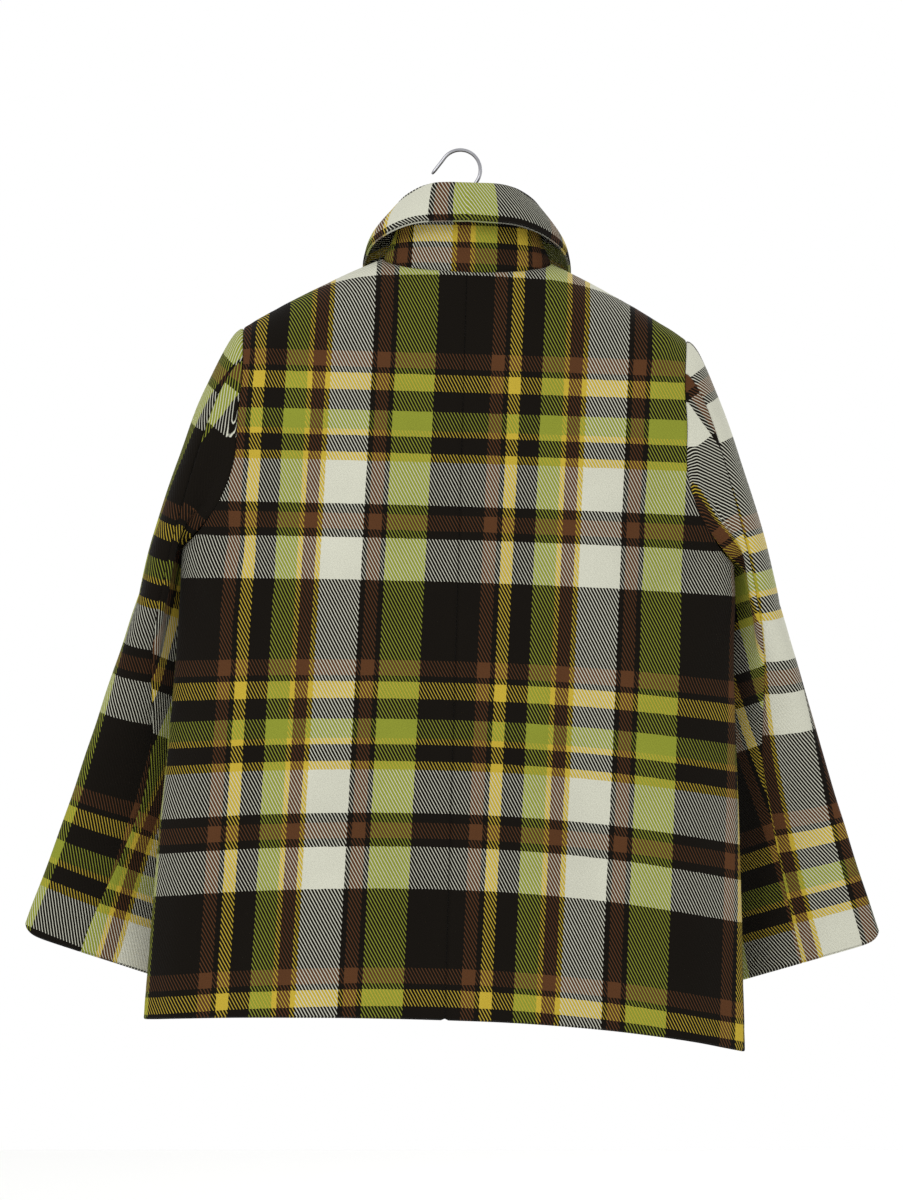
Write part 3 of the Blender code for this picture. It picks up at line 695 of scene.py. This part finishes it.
def seam_relief(points, free):
    """How far the cloth sinks beside its seams, with a slight pucker along them."""
    rows, columns = points.shape[:2]
    depth = np.zeros((rows, columns))
    lines = {"top": 0, "bottom": rows - 1, "first": 0, "last": columns - 1}
    for edge, at in lines.items():
        if edge in free:
            continue
        border = points[at] if edge in ("top", "bottom") else points[:, at]
        border = border[None] if edge in ("top", "bottom") else border[:, None]
        away = np.linalg.norm(points - border, axis=-1)
        sink = np.interp(away, [d for d, _ in SEAM_SINK], [s for _, s in SEAM_SINK])
        pucker = SEAM_PUCKER * ripple(points, PUCKER_SIZE, at + PUCKER_SEED) * np.exp(-away / PUCKER_REACH)
        depth = np.maximum(depth, sink) - pucker
    return depth


Crease = namedtuple("Crease", "x0 z0 x1 z1 width depth")
BACK_CREASES = (
    Crease(-208, -300, -150, -335, 13, -2.2),
    Crease(-236, -362, -165, -420, 16, -2.6),
    Crease(-250, -395, -205, -470, 14, 2.0),
    Crease(208, -310, 150, -352, 14, -2.2),
    Crease(240, -372, 168, -440, 17, -2.8),
    Crease(252, -410, 215, -500, 14, 2.2),
    Crease(-60, -135, -130, -178, 15, 1.6),
    Crease(66, -135, 140, -186, 15, 1.6),
    Crease(-30, -300, -34, -520, 26, -1.6),
    Crease(40, -260, 52, -470, 30, 1.5),
    Crease(-175, -560, -200, -760, 24, -2.0),
    Crease(130, -600, 148, -790, 26, -2.2),
    Crease(196, -170, 176, -205, 12, 2.2),
    Crease(-196, -172, -178, -200, 12, 1.4),
)
FRONT_CREASES = (
    Crease(-196, -300, -140, -345, 14, -2.4),
    Crease(-228, -366, -150, -440, 17, -2.8),
    Crease(-246, -400, -196, -490, 15, 2.2),
    Crease(196, -305, 138, -350, 14, -2.4),
    Crease(230, -372, 150, -452, 17, -2.8),
    Crease(248, -410, 204, -505, 15, 2.2),
    Crease(-70, -165, -120, -240, 20, 1.8),
    Crease(74, -165, 126, -246, 20, 1.8),
    Crease(60, -430, 46, -640, 26, -1.8),
    Crease(-72, -420, -66, -660, 26, -1.8),
)
CREASE_MEAN = 1.6
CREASE_HALF = 0.32
CREASE_FADE = 0.045


def crease_relief(points, creases):
    """Soft, uneven troughs and ridges of the hanging cloth, each along a line across the panel."""
    x, z = points[..., 0], points[..., 2]
    relief = np.zeros(x.shape)
    uneven = CREASE_MEAN + rippled(points, CREASE_RIPPLE)
    for crease in creases:
        dx, dz = crease.x1 - crease.x0, crease.z1 - crease.z0
        length = math.hypot(dx, dz)
        share = ((x - crease.x0) * dx + (z - crease.z0) * dz) / length ** 2
        side_step = ((x - crease.x0) * dz - (z - crease.z0) * dx) / length
        ends = np.exp(-np.maximum(np.abs(share - 0.5) - CREASE_HALF, 0) ** 2 / CREASE_FADE)
        relief += crease.depth * uneven * ends * np.exp(-(side_step / crease.width) ** 2)
    return relief


def hung(points):
    """Garment points in millimetres, in the shared frame in metres."""
    tilt = Matrix.Rotation(HANG_TILT, 3, "Y")
    moved = points.reshape(-1, 3) + np.array((HOOK_OFFSET, 0, 0))
    return (moved @ np.array(tilt).T) * MM


def new_object(name, data):
    made = bpy.data.objects.new(name, data)
    bpy.context.scene.collection.objects.link(made)
    return made


def wall_faces(rows, columns, flip):
    """Quads of the outer and the inner skin."""
    def index(r, c, layer):
        return layer * rows * columns + r * columns + c
    faces = []
    for r in range(rows - 1):
        for c in range(columns - 1):
            quad = [(r, c), (r, c + 1), (r + 1, c + 1), (r + 1, c)]
            faces.append([index(*q, 0) for q in (quad[::-1] if flip else quad)])
            faces.append([index(*q, 1) for q in (quad if flip else quad[::-1])])
    return faces


def border_loop(rows, columns):
    """Grid places round the border, in order, with the edge that each lies on."""
    loop = [(0, c, "top") for c in range(columns - 1)]
    loop += [(r, columns - 1, "last") for r in range(rows - 1)]
    loop += [(rows - 1, c, "bottom") for c in range(columns - 1, 0, -1)]
    loop += [(r, 0, "first") for r in range(rows - 1, 0, -1)]
    return loop


def drawn_in(points, free):
    """The outer points with their seam edges drawn back a little, which leaves the seam's dark line."""
    points = points.copy()
    for edge, place, beside in (("top", (0,), (1,)), ("bottom", (-1,), (-2,)),
                                ("first", (slice(None), 0), (slice(None), 1)),
                                ("last", (slice(None), -1), (slice(None), -2))):
        if edge not in free:
            inward = points[beside] - points[place]
            length = np.linalg.norm(inward, axis=-1, keepdims=True)
            points[place] += SEAM_INSET * inward / np.maximum(length, SEAM_INSET)
    return points


def rim_points(name, skin, outer, inner, normals):
    """The points between the two skins, rounded at a free edge, and their cloth coordinates."""
    rows, columns = outer.shape[:2]
    middle = (outer + inner) / 2
    rim, rim_cloth = [], []
    for r, c, edge in border_loop(rows, columns):
        inward = middle[min(max(r, 1), rows - 2), min(max(c, 1), columns - 2)] - middle[r, c]
        inward -= normals[r, c] * inward.dot(normals[r, c])
        out = -inward / max(np.linalg.norm(inward), 1e-9)
        bulge = CLOTH / 2 if edge in skin.free else 0.0
        for i in range(1, RIM_STEPS):
            a = math.pi * i / RIM_STEPS
            reach = bulge * math.sin(a)
            # The fall's rim peeps out below its lower edge, to show its painted highlight
            if edge == "top" and name in HIGHLIGHT_EDGE_V and i > 1:
                reach += HIGHLIGHT_EDGE_PEEP
            rim.append(mix(inner[r, c], outer[r, c], (1 + math.cos(a)) / 2) + out * reach)
            lay = skin.cloth[r, c] + RIM_CLOTH_STEP * i
            # The fall's rim takes the cream stripe along its free edges: a painted highlight
            if edge in skin.free and i > 1 and name in HIGHLIGHT_EDGE_V:
                lay[1] = HIGHLIGHT_EDGE_V[name]
            rim_cloth.append(lay)
    return rim, rim_cloth


def rim_faces(rows, columns, flip):
    """Quads from the outer skin over the rim to the inner skin, all the way round."""
    grid = rows * columns
    strips = []
    for n, (r, c, _) in enumerate(border_loop(rows, columns)):
        here = r * columns + c
        start = 2 * grid + n * (RIM_STEPS - 1)
        strips.append([here, *range(start, start + RIM_STEPS - 1), here + grid])
    faces = []
    for left, right in zip(strips, strips[1:] + strips[:1]):
        for i in range(RIM_STEPS):
            quad = [left[i], left[i + 1], right[i + 1], right[i]]
            faces.append(quad[::-1] if flip else quad)
    return faces


def make_wall(name, skin, relief):
    """A closed wall of cloth: rounded at its free edges and square at its seams."""
    points = skin.points
    rows, columns = points.shape[:2]
    normals = grid_normals(points)
    flip = facing_in(points, normals, name)
    if flip:
        normals = -normals
    base = points + normals * relief[..., None]
    normals = grid_normals(base) * (-1 if flip else 1)
    inner = base - normals * CLOTH
    outer = drawn_in(base - normals * seam_relief(points, skin.free)[..., None], skin.free)
    rim, rim_cloth = rim_points(name, skin, outer, inner, normals)
    faces = wall_faces(rows, columns, not flip) + rim_faces(rows, columns, flip)
    all_points = np.concatenate([outer.reshape(-1, 3), inner.reshape(-1, 3), np.array(rim)])
    cloth = np.concatenate([skin.cloth.reshape(-1, 2), skin.cloth.reshape(-1, 2), np.array(rim_cloth)])
    mesh = bpy.data.meshes.new(name)
    mesh.from_pydata(hung(all_points).tolist(), [], faces)
    uv = mesh.uv_layers.new(name="cloth")
    corner = np.zeros(len(mesh.loops), np.int32)
    mesh.loops.foreach_get("vertex_index", corner)
    uv.data.foreach_set("uv", (cloth[corner] * MM).astype(np.float32).ravel())
    mesh.shade_smooth()
    return new_object(name, mesh)


def facing_in(points, normals, name):
    """Whether a grid's normals point to the inside of the garment."""
    if "sleeve" in name:
        whole = SLEEVE_MIDDLES[name.rsplit("_", 1)[1]]
        middle = np.stack([np.interp(points[..., 2], whole[0], whole[k]) for k in (1, 2)], axis=-1)
        away = points[..., :2] - middle
        return (away * normals[..., :2]).sum() < 0
    if "fall" in name:
        return normals[0, :, :2].ravel() @ points[0, :, :2].ravel() < 0
    return (points[..., :2] * normals[..., :2]).sum() < 0


SLEEVE_MIDDLES = {}


def note_sleeve_middle(hand, skins):
    """The middle line of a sleeve, by height, from both of its pieces."""
    both = np.concatenate([skins["top"].points, skins["under"].points], axis=1)
    middle = both.mean(axis=1)[::-1]
    SLEEVE_MIDDLES[hand] = (middle[:, 2], middle[:, 0], middle[:, 1])


# ---- materials

def node(tree, kind, inputs=(), **settings):
    made = tree.nodes.new(kind)
    for name, value in settings.items():
        setattr(made, name, value)
    for key, value in dict(inputs).items():
        if isinstance(value, bpy.types.NodeSocket):
            tree.links.new(value, made.inputs[key])
        else:
            made.inputs[key].default_value = value
    return made


def maths(tree, operation, a, b=0.0):
    return node(tree, "ShaderNodeMath", {0: a, 1: b}, operation=operation).outputs[0]


def mixed(tree, share, a, b, blend="MIX"):
    made = node(tree, "ShaderNodeMix", data_type="RGBA", blend_type=blend)
    for socket, value in ((made.inputs[0], share), (made.inputs[6], a), (made.inputs[7], b)):
        if isinstance(value, bpy.types.NodeSocket):
            tree.links.new(value, socket)
        else:
            socket.default_value = value
    return made.outputs[2]


def stripes(tree, place, sett, start):
    """The yarn colour at a place across the cloth, in millimetres."""
    period = sum(width for _, width in sett) * PX
    share = maths(tree, "FRACT", maths(tree, "DIVIDE", maths(tree, "SUBTRACT", place, start), period))
    ramp = node(tree, "ShaderNodeValToRGB", {"Fac": share})
    ramp.color_ramp.interpolation = "CONSTANT"
    elements = ramp.color_ramp.elements
    done = 0.0
    for n, (yarn, width) in enumerate(sett):
        position = done / period
        element = elements[0] if n == 0 else elements.new(position)
        element.position = position
        element.color = (*YARNS[yarn], 1)
        done += width * PX
    while len(elements) > len(sett):
        elements.remove(elements[-1])
    return ramp.outputs["Color"]


def plain_material(name, roughness, metallic=0.0):
    material = bpy.data.materials.new(name)
    material.use_nodes = True
    shader = material.node_tree.nodes["Principled BSDF"]
    shader.inputs["Roughness"].default_value = roughness
    shader.inputs["Metallic"].default_value = metallic
    return material, material.node_tree, shader


def speckle(tree, shader, place, grains, dark, light, low=0.0, high=1.0):
    """A base colour that wanders between two shades, as a noise does between two values."""
    cloud = node(tree, "ShaderNodeTexNoise", {"Vector": place, **grains})
    ramp = node(tree, "ShaderNodeValToRGB", {"Fac": cloud.outputs["Fac"]})
    for element, position, colour in zip(ramp.color_ramp.elements, (low, high), (dark, light)):
        element.position = position
        element.color = (*colour, 1)
    tree.links.new(ramp.outputs["Color"], shader.inputs["Base Color"])


YARN_WANDER = 1.1
FIBRE_SHADE = 0.5
PATCH_SHADE = 0.22
BASE_SHADE = 0.64
RIB_LIFT = 0.5
FIBRE_LIFT = 0.9


def plaid_wool():
    """Brushed 2/2 twill, whose warp and weft stripes cross as they do on a loom."""
    material, tree, shader = plain_material("plaid_wool", 0.9)
    shader.inputs["Specular IOR Level"].default_value = 0.07
    shader.inputs["Sheen Weight"].default_value = 0.03
    shader.inputs["Sheen Roughness"].default_value = 0.45
    cloth = node(tree, "ShaderNodeUVMap", uv_map="cloth").outputs["UV"]
    wander = node(tree, "ShaderNodeTexNoise", {"Vector": cloth, "Scale": 170.0, "Detail": 1.0})
    split = node(tree, "ShaderNodeSeparateXYZ", {"Vector": cloth})
    shift = maths(tree, "MULTIPLY", maths(tree, "SUBTRACT", wander.outputs["Fac"], 0.5), YARN_WANDER)
    u = maths(tree, "ADD", maths(tree, "MULTIPLY", split.outputs["X"], 1 / MM), shift)
    v = maths(tree, "ADD", maths(tree, "MULTIPLY", split.outputs["Y"], 1 / MM), shift)
    warp = stripes(tree, u, WARP, WARP_START)
    weft = stripes(tree, v, WEFT, 0.0)
    rib = maths(tree, "FRACT", maths(tree, "SUBTRACT", maths(tree, "DIVIDE", u, TWILL_ACROSS),
                                     maths(tree, "DIVIDE", v, TWILL_DOWN)))
    swell = maths(tree, "SINE", maths(tree, "MULTIPLY", rib, 2 * math.pi))
    sunk = mixed(tree, 1.0, warp, weft, "DARKEN")
    over = node(tree, "ShaderNodeMapRange", {"Value": swell, "From Min": 0.3, "From Max": 0.85})
    under = node(tree, "ShaderNodeMapRange", {"Value": swell, "From Min": -0.48, "From Max": -0.95})
    woven = mixed(tree, under.outputs[0], mixed(tree, over.outputs[0], sunk, warp), weft)
    fibre = node(tree, "ShaderNodeTexNoise", {"Vector": cloth, "Scale": 900.0, "Detail": 3.0})
    patch = node(tree, "ShaderNodeTexNoise", {"Vector": cloth, "Scale": 14.0, "Detail": 2.0})
    bright = maths(tree, "ADD", maths(tree, "MULTIPLY", fibre.outputs["Fac"], FIBRE_SHADE),
                   maths(tree, "MULTIPLY", patch.outputs["Fac"], PATCH_SHADE))
    bright = maths(tree, "ADD", bright, BASE_SHADE)
    shade = node(tree, "ShaderNodeVectorMath", {0: woven, "Scale": bright}, operation="SCALE")
    tree.links.new(shade.outputs[0], shader.inputs["Base Color"])
    lift = maths(tree, "ADD", maths(tree, "MULTIPLY", swell, RIB_LIFT),
                 maths(tree, "MULTIPLY", fibre.outputs["Fac"], FIBRE_LIFT))
    bump = node(tree, "ShaderNodeBump", {"Height": lift, "Strength": 0.5, "Distance": 0.0006})
    tree.links.new(bump.outputs["Normal"], shader.inputs["Normal"])
    return material


def varnished_wood():
    material, tree, shader = plain_material("varnished_wood", 0.35)
    shader.inputs["Coat Weight"].default_value = 0.4
    place = node(tree, "ShaderNodeTexCoord").outputs["Object"]
    stretched = node(tree, "ShaderNodeMapping", {"Vector": place, "Scale": (6.0, 60.0, 60.0)})
    speckle(tree, shader, stretched.outputs[0], {"Scale": 6.0, "Detail": 5.0},
            (0.22, 0.10, 0.035), (0.46, 0.26, 0.11), 0.35, 0.7)
    return material


def bright_wire():
    material, tree, shader = plain_material("bright_wire", 0.24, 1.0)
    place = node(tree, "ShaderNodeTexCoord").outputs["Object"]
    speckle(tree, shader, place, {"Scale": 160.0, "Detail": 4.0}, (0.23, 0.23, 0.25), (0.46, 0.46, 0.48))
    return material


def button_plastic():
    material, tree, shader = plain_material("button_plastic", 0.3)
    place = node(tree, "ShaderNodeTexCoord").outputs["Object"]
    speckle(tree, shader, place, {"Scale": 70.0, "Detail": 4.0, "Distortion": 1.2},
            (0.018, 0.009, 0.005), (0.14, 0.065, 0.025), 0.35, 0.72)
    return material


def sewing_thread():
    material, tree, shader = plain_material("sewing_thread", 0.7)
    place = node(tree, "ShaderNodeTexCoord").outputs["Object"]
    speckle(tree, shader, place, {"Scale": 1200.0}, (0.02, 0.014, 0.01), (0.06, 0.045, 0.03))
    return material


# ---- the pieces

Cut = namedtuple("Cut", "width length area")


def declare(piece, replaced):
    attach(piece, "root")
    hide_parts(replaced)


def dress_body(wool):
    for side, hand in ((-1, "left"), (1, "right")):
        for face in ("back", "front"):
            skin = body_skin(face, side)
            creases = BACK_CREASES if face == "back" else FRONT_CREASES
            relief = crease_relief(skin.points, creases) + rippled(skin.points, BODY_RIPPLE)
            piece = make_wall(f"cloth_{face}_{hand}", skin, relief)
            piece.data.materials.append(wool)
            declare(piece, f"{face}_{hand}")


def dress_sleeves(wool):
    for side, hand in ((-1, "left"), (1, "right")):
        skins = sleeve_skins(side)
        note_sleeve_middle(hand, skins)
        for kind, skin in skins.items():
            piece = make_wall(f"cloth_sleeve_{kind}_{hand}", skin, rippled(skin.points, SLEEVE_RIPPLE))
            piece.data.materials.append(wool)
            declare(piece, f"sleeve_{kind}_{hand}")


def dress_collar(wool):
    stand = stand_skin()
    piece = make_wall("cloth_collar_stand", stand, rippled(stand.points, STAND_RIPPLE))
    piece.data.materials.append(wool)
    declare(piece, "collar_stand")
    fall = fall_skin()
    piece = make_wall("cloth_collar_fall", fall, rippled(fall.points, FALL_RIPPLE) + CLOTH / 2)
    piece.data.materials.append(wool)
    declare(piece, "collar_fall")


def swept_rings(path, radius, sides):
    turns = [2 * math.pi * k / sides for k in range(sides)]
    rings = []
    for n, centre in enumerate(path):
        run = path[min(n + 1, len(path) - 1)] - path[max(n - 1, 0)]
        up = Vector((-run.z, 0, run.x)).normalized()
        size = radius(n)
        rings.append([centre + up * size * math.cos(a) - Vector((0, size * math.sin(a), 0)) for a in turns])
    return rings


def bar_z(x):
    x = abs(x)
    if x >= NECK_HALF:
        return shoulder_z(x)
    step = 1.0
    slope = (shoulder_z(NECK_HALF + step) - NECK_SIDE_Z) / step
    return NECK_SIDE_Z - slope * (NECK_HALF * NECK_HALF - x * x) / (2 * NECK_HALF)


def hook_path():
    centre = Vector((-HOOK_OFFSET, 0, WIRE / 2 - HOOK_RADIUS))

    def on_circle(a):
        return centre + HOOK_RADIUS * Vector((math.cos(a), 0, math.sin(a)))
    foot = Vector((STEM_X, 0, bar_z(STEM_X) - CLOTH - BAR_CLEAR + SEAM_GAP))
    stem_top = Vector((STEM_X, 0, STEM_TOP_Z))
    join = on_circle(STEM_JOIN)
    span = (join - stem_top).length
    stem_run = Vector((0, 0, span))
    join_run = Vector((-math.sin(STEM_JOIN), 0, math.cos(STEM_JOIN))) * span
    path = [foot.lerp(stem_top, t / STEM_STEPS) for t in range(STEM_STEPS)]
    path += [hermite(stem_top, join, stem_run, join_run, t / JOIN_STEPS) for t in range(JOIN_STEPS)]
    path += [on_circle(mix(STEM_JOIN, HOOK_OPEN, i / BEND_STEPS)) for i in range(BEND_STEPS + 1)]
    last = path[-1]
    path += [last.lerp(HOOK_TIP, t / TIP_STEPS) for t in range(1, TIP_STEPS + 1)]
    return path


def dress_hook():
    """The wire hook, with a rounded tip."""
    path = hook_path()
    ends = len(path) - 1

    def radius(n):
        return WIRE / 2 * (TIP_END if n == ends else TIP_NEXT if n == ends - 1 else 1.0)
    sides = HOOK_SIDES
    rings = swept_rings(path, radius, sides)
    points = np.array([p for ring in rings for p in ring])
    faces = [list(range(sides))[::-1]]
    for r in range(len(rings) - 1):
        for k in range(sides):
            m = (k + 1) % sides
            faces.append([r * sides + k, r * sides + m, (r + 1) * sides + m, (r + 1) * sides + k])
    faces.append([ends * sides + k for k in range(sides)])
    mesh = bpy.data.meshes.new("wire_hook")
    mesh.from_pydata(hung(points).tolist(), [], faces)
    mesh.shade_smooth()
    piece = new_object("wire_hook", mesh)
    piece.data.materials.append(bright_wire())
    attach(piece, "root")
    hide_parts("hanger_hook")


def front_face(z):
    def outside(height):
        if height > UNDERARM_Z:
            return chest_point("front", 1, 0, (height - NECK_FRONT_Z) / (UNDERARM_Z - NECK_FRONT_Z))[0]
        return skirt_point("front", 1, 0, (height - UNDERARM_Z) / (HEM_Z - UNDERARM_Z))
    step = 4.0
    run = outside(z + step) - outside(z - step)
    return outside(z), Vector((0, run.z, -run.y)).normalized()


THREAD_RADIUS = 0.45
THREAD_RISE = 0.7
THREAD_SINK = 0.25
HOLE_REACH = 2.6


def dress_buttons():
    """Crossed threads on each button, and the buttons' own finish."""
    thread, plastic = sewing_thread(), button_plastic()
    for n in range(BUTTON_COUNT):
        name = f"button_{n + 1}"
        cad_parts[name].data.materials.clear()
        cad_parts[name].data.materials.append(plastic)
        place, facing = front_face(BUTTON_TOP_Z - BUTTON_PITCH * n)
        turn = facing.to_track_quat("Z", "Y")
        height = SEAM_GAP + BUTTON_THICK - BUTTON_DISH
        curve = bpy.data.curves.new(f"thread_{n + 1}", "CURVE")
        curve.dimensions = "3D"
        curve.bevel_depth = THREAD_RADIUS * MM
        curve.bevel_resolution = 2
        for sign in (-1, 1):
            spline = curve.splines.new("POLY")
            spline.points.add(THREAD_POINTS - 1)
            for i, point in enumerate(spline.points):
                t = 2 * i / (THREAD_POINTS - 1) - 1
                up = height + THREAD_RISE * (1 - t * t) - THREAD_SINK
                spot = place + turn @ Vector((HOLE_REACH * t, sign * HOLE_REACH * t, up))
                point.co = (*hung(np.array([spot]))[0], 1)
        piece = new_object(f"thread_{n + 1}", curve)
        piece.data.materials.append(thread)
        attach(piece, "root")


def dress_hanger():
    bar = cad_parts["hanger_bar"]
    bar.data.materials.clear()
    bar.data.materials.append(varnished_wood())


# ---- the studio

CAMERA_AIM = Vector((-0.009, -0.04, -0.4285))
CAMERA_BACK = 6.0
VIEW_HEIGHT = 1.140
FLOOR_Z = -1.25
FLOOR_REACH = 3.4
Light = namedtuple("Light", "name place size power")
LIGHTS = (
    Light("key", (-1.6, -2.6, 1.2), 1.6, 26),
    Light("back", (1.8, 2.8, 1.0), 2.0, 20),
)
LIGHT_AIM = Vector((0, 0, -0.4))


def make_floor():
    material, _, shader = plain_material("pale_floor", 0.8)
    shader.inputs["Base Color"].default_value = (0.9, 0.9, 0.89, 1)
    mesh = bpy.data.meshes.new("floor")
    corners = [(x * FLOOR_REACH, y * FLOOR_REACH, FLOOR_Z) for x, y in ((-1, -1), (1, -1), (1, 1), (-1, 1))]
    mesh.from_pydata(corners, [], [[0, 1, 2, 3]])
    floor = new_object("floor", mesh)
    floor.data.materials.append(material)


def make_light(light):
    lamp = bpy.data.lights.new(light.name, "AREA")
    lamp.shape = "DISK"
    lamp.size = light.size
    lamp.energy = light.power
    piece = new_object(light.name, lamp)
    piece.location = light.place
    piece.rotation_mode = "QUATERNION"
    piece.rotation_quaternion = (LIGHT_AIM - Vector(light.place)).to_track_quat("-Z", "Y")


def make_studio():
    world = bpy.data.worlds.new("studio")
    bpy.context.scene.world = world
    world.use_nodes = True
    sky = world.node_tree.nodes["Background"]
    sky.inputs["Color"].default_value = (1, 1, 1, 1)
    sky.inputs["Strength"].default_value = 1.0
    make_floor()
    for light in LIGHTS:
        make_light(light)
    camera = new_object("camera", bpy.data.cameras.new("camera"))
    camera.location = CAMERA_AIM - Vector((0, CAMERA_BACK, 0))
    camera.rotation_euler = (math.radians(90), 0, 0)
    camera.data.lens = camera.data.sensor_width * CAMERA_BACK / VIEW_HEIGHT
    bpy.context.scene.camera = camera
    bpy.context.scene.view_settings.view_transform = "Standard"


make_studio()
wool_material = plaid_wool()
dress_body(wool_material)
dress_sleeves(wool_material)
dress_collar(wool_material)
dress_hook()
dress_buttons()
dress_hanger()
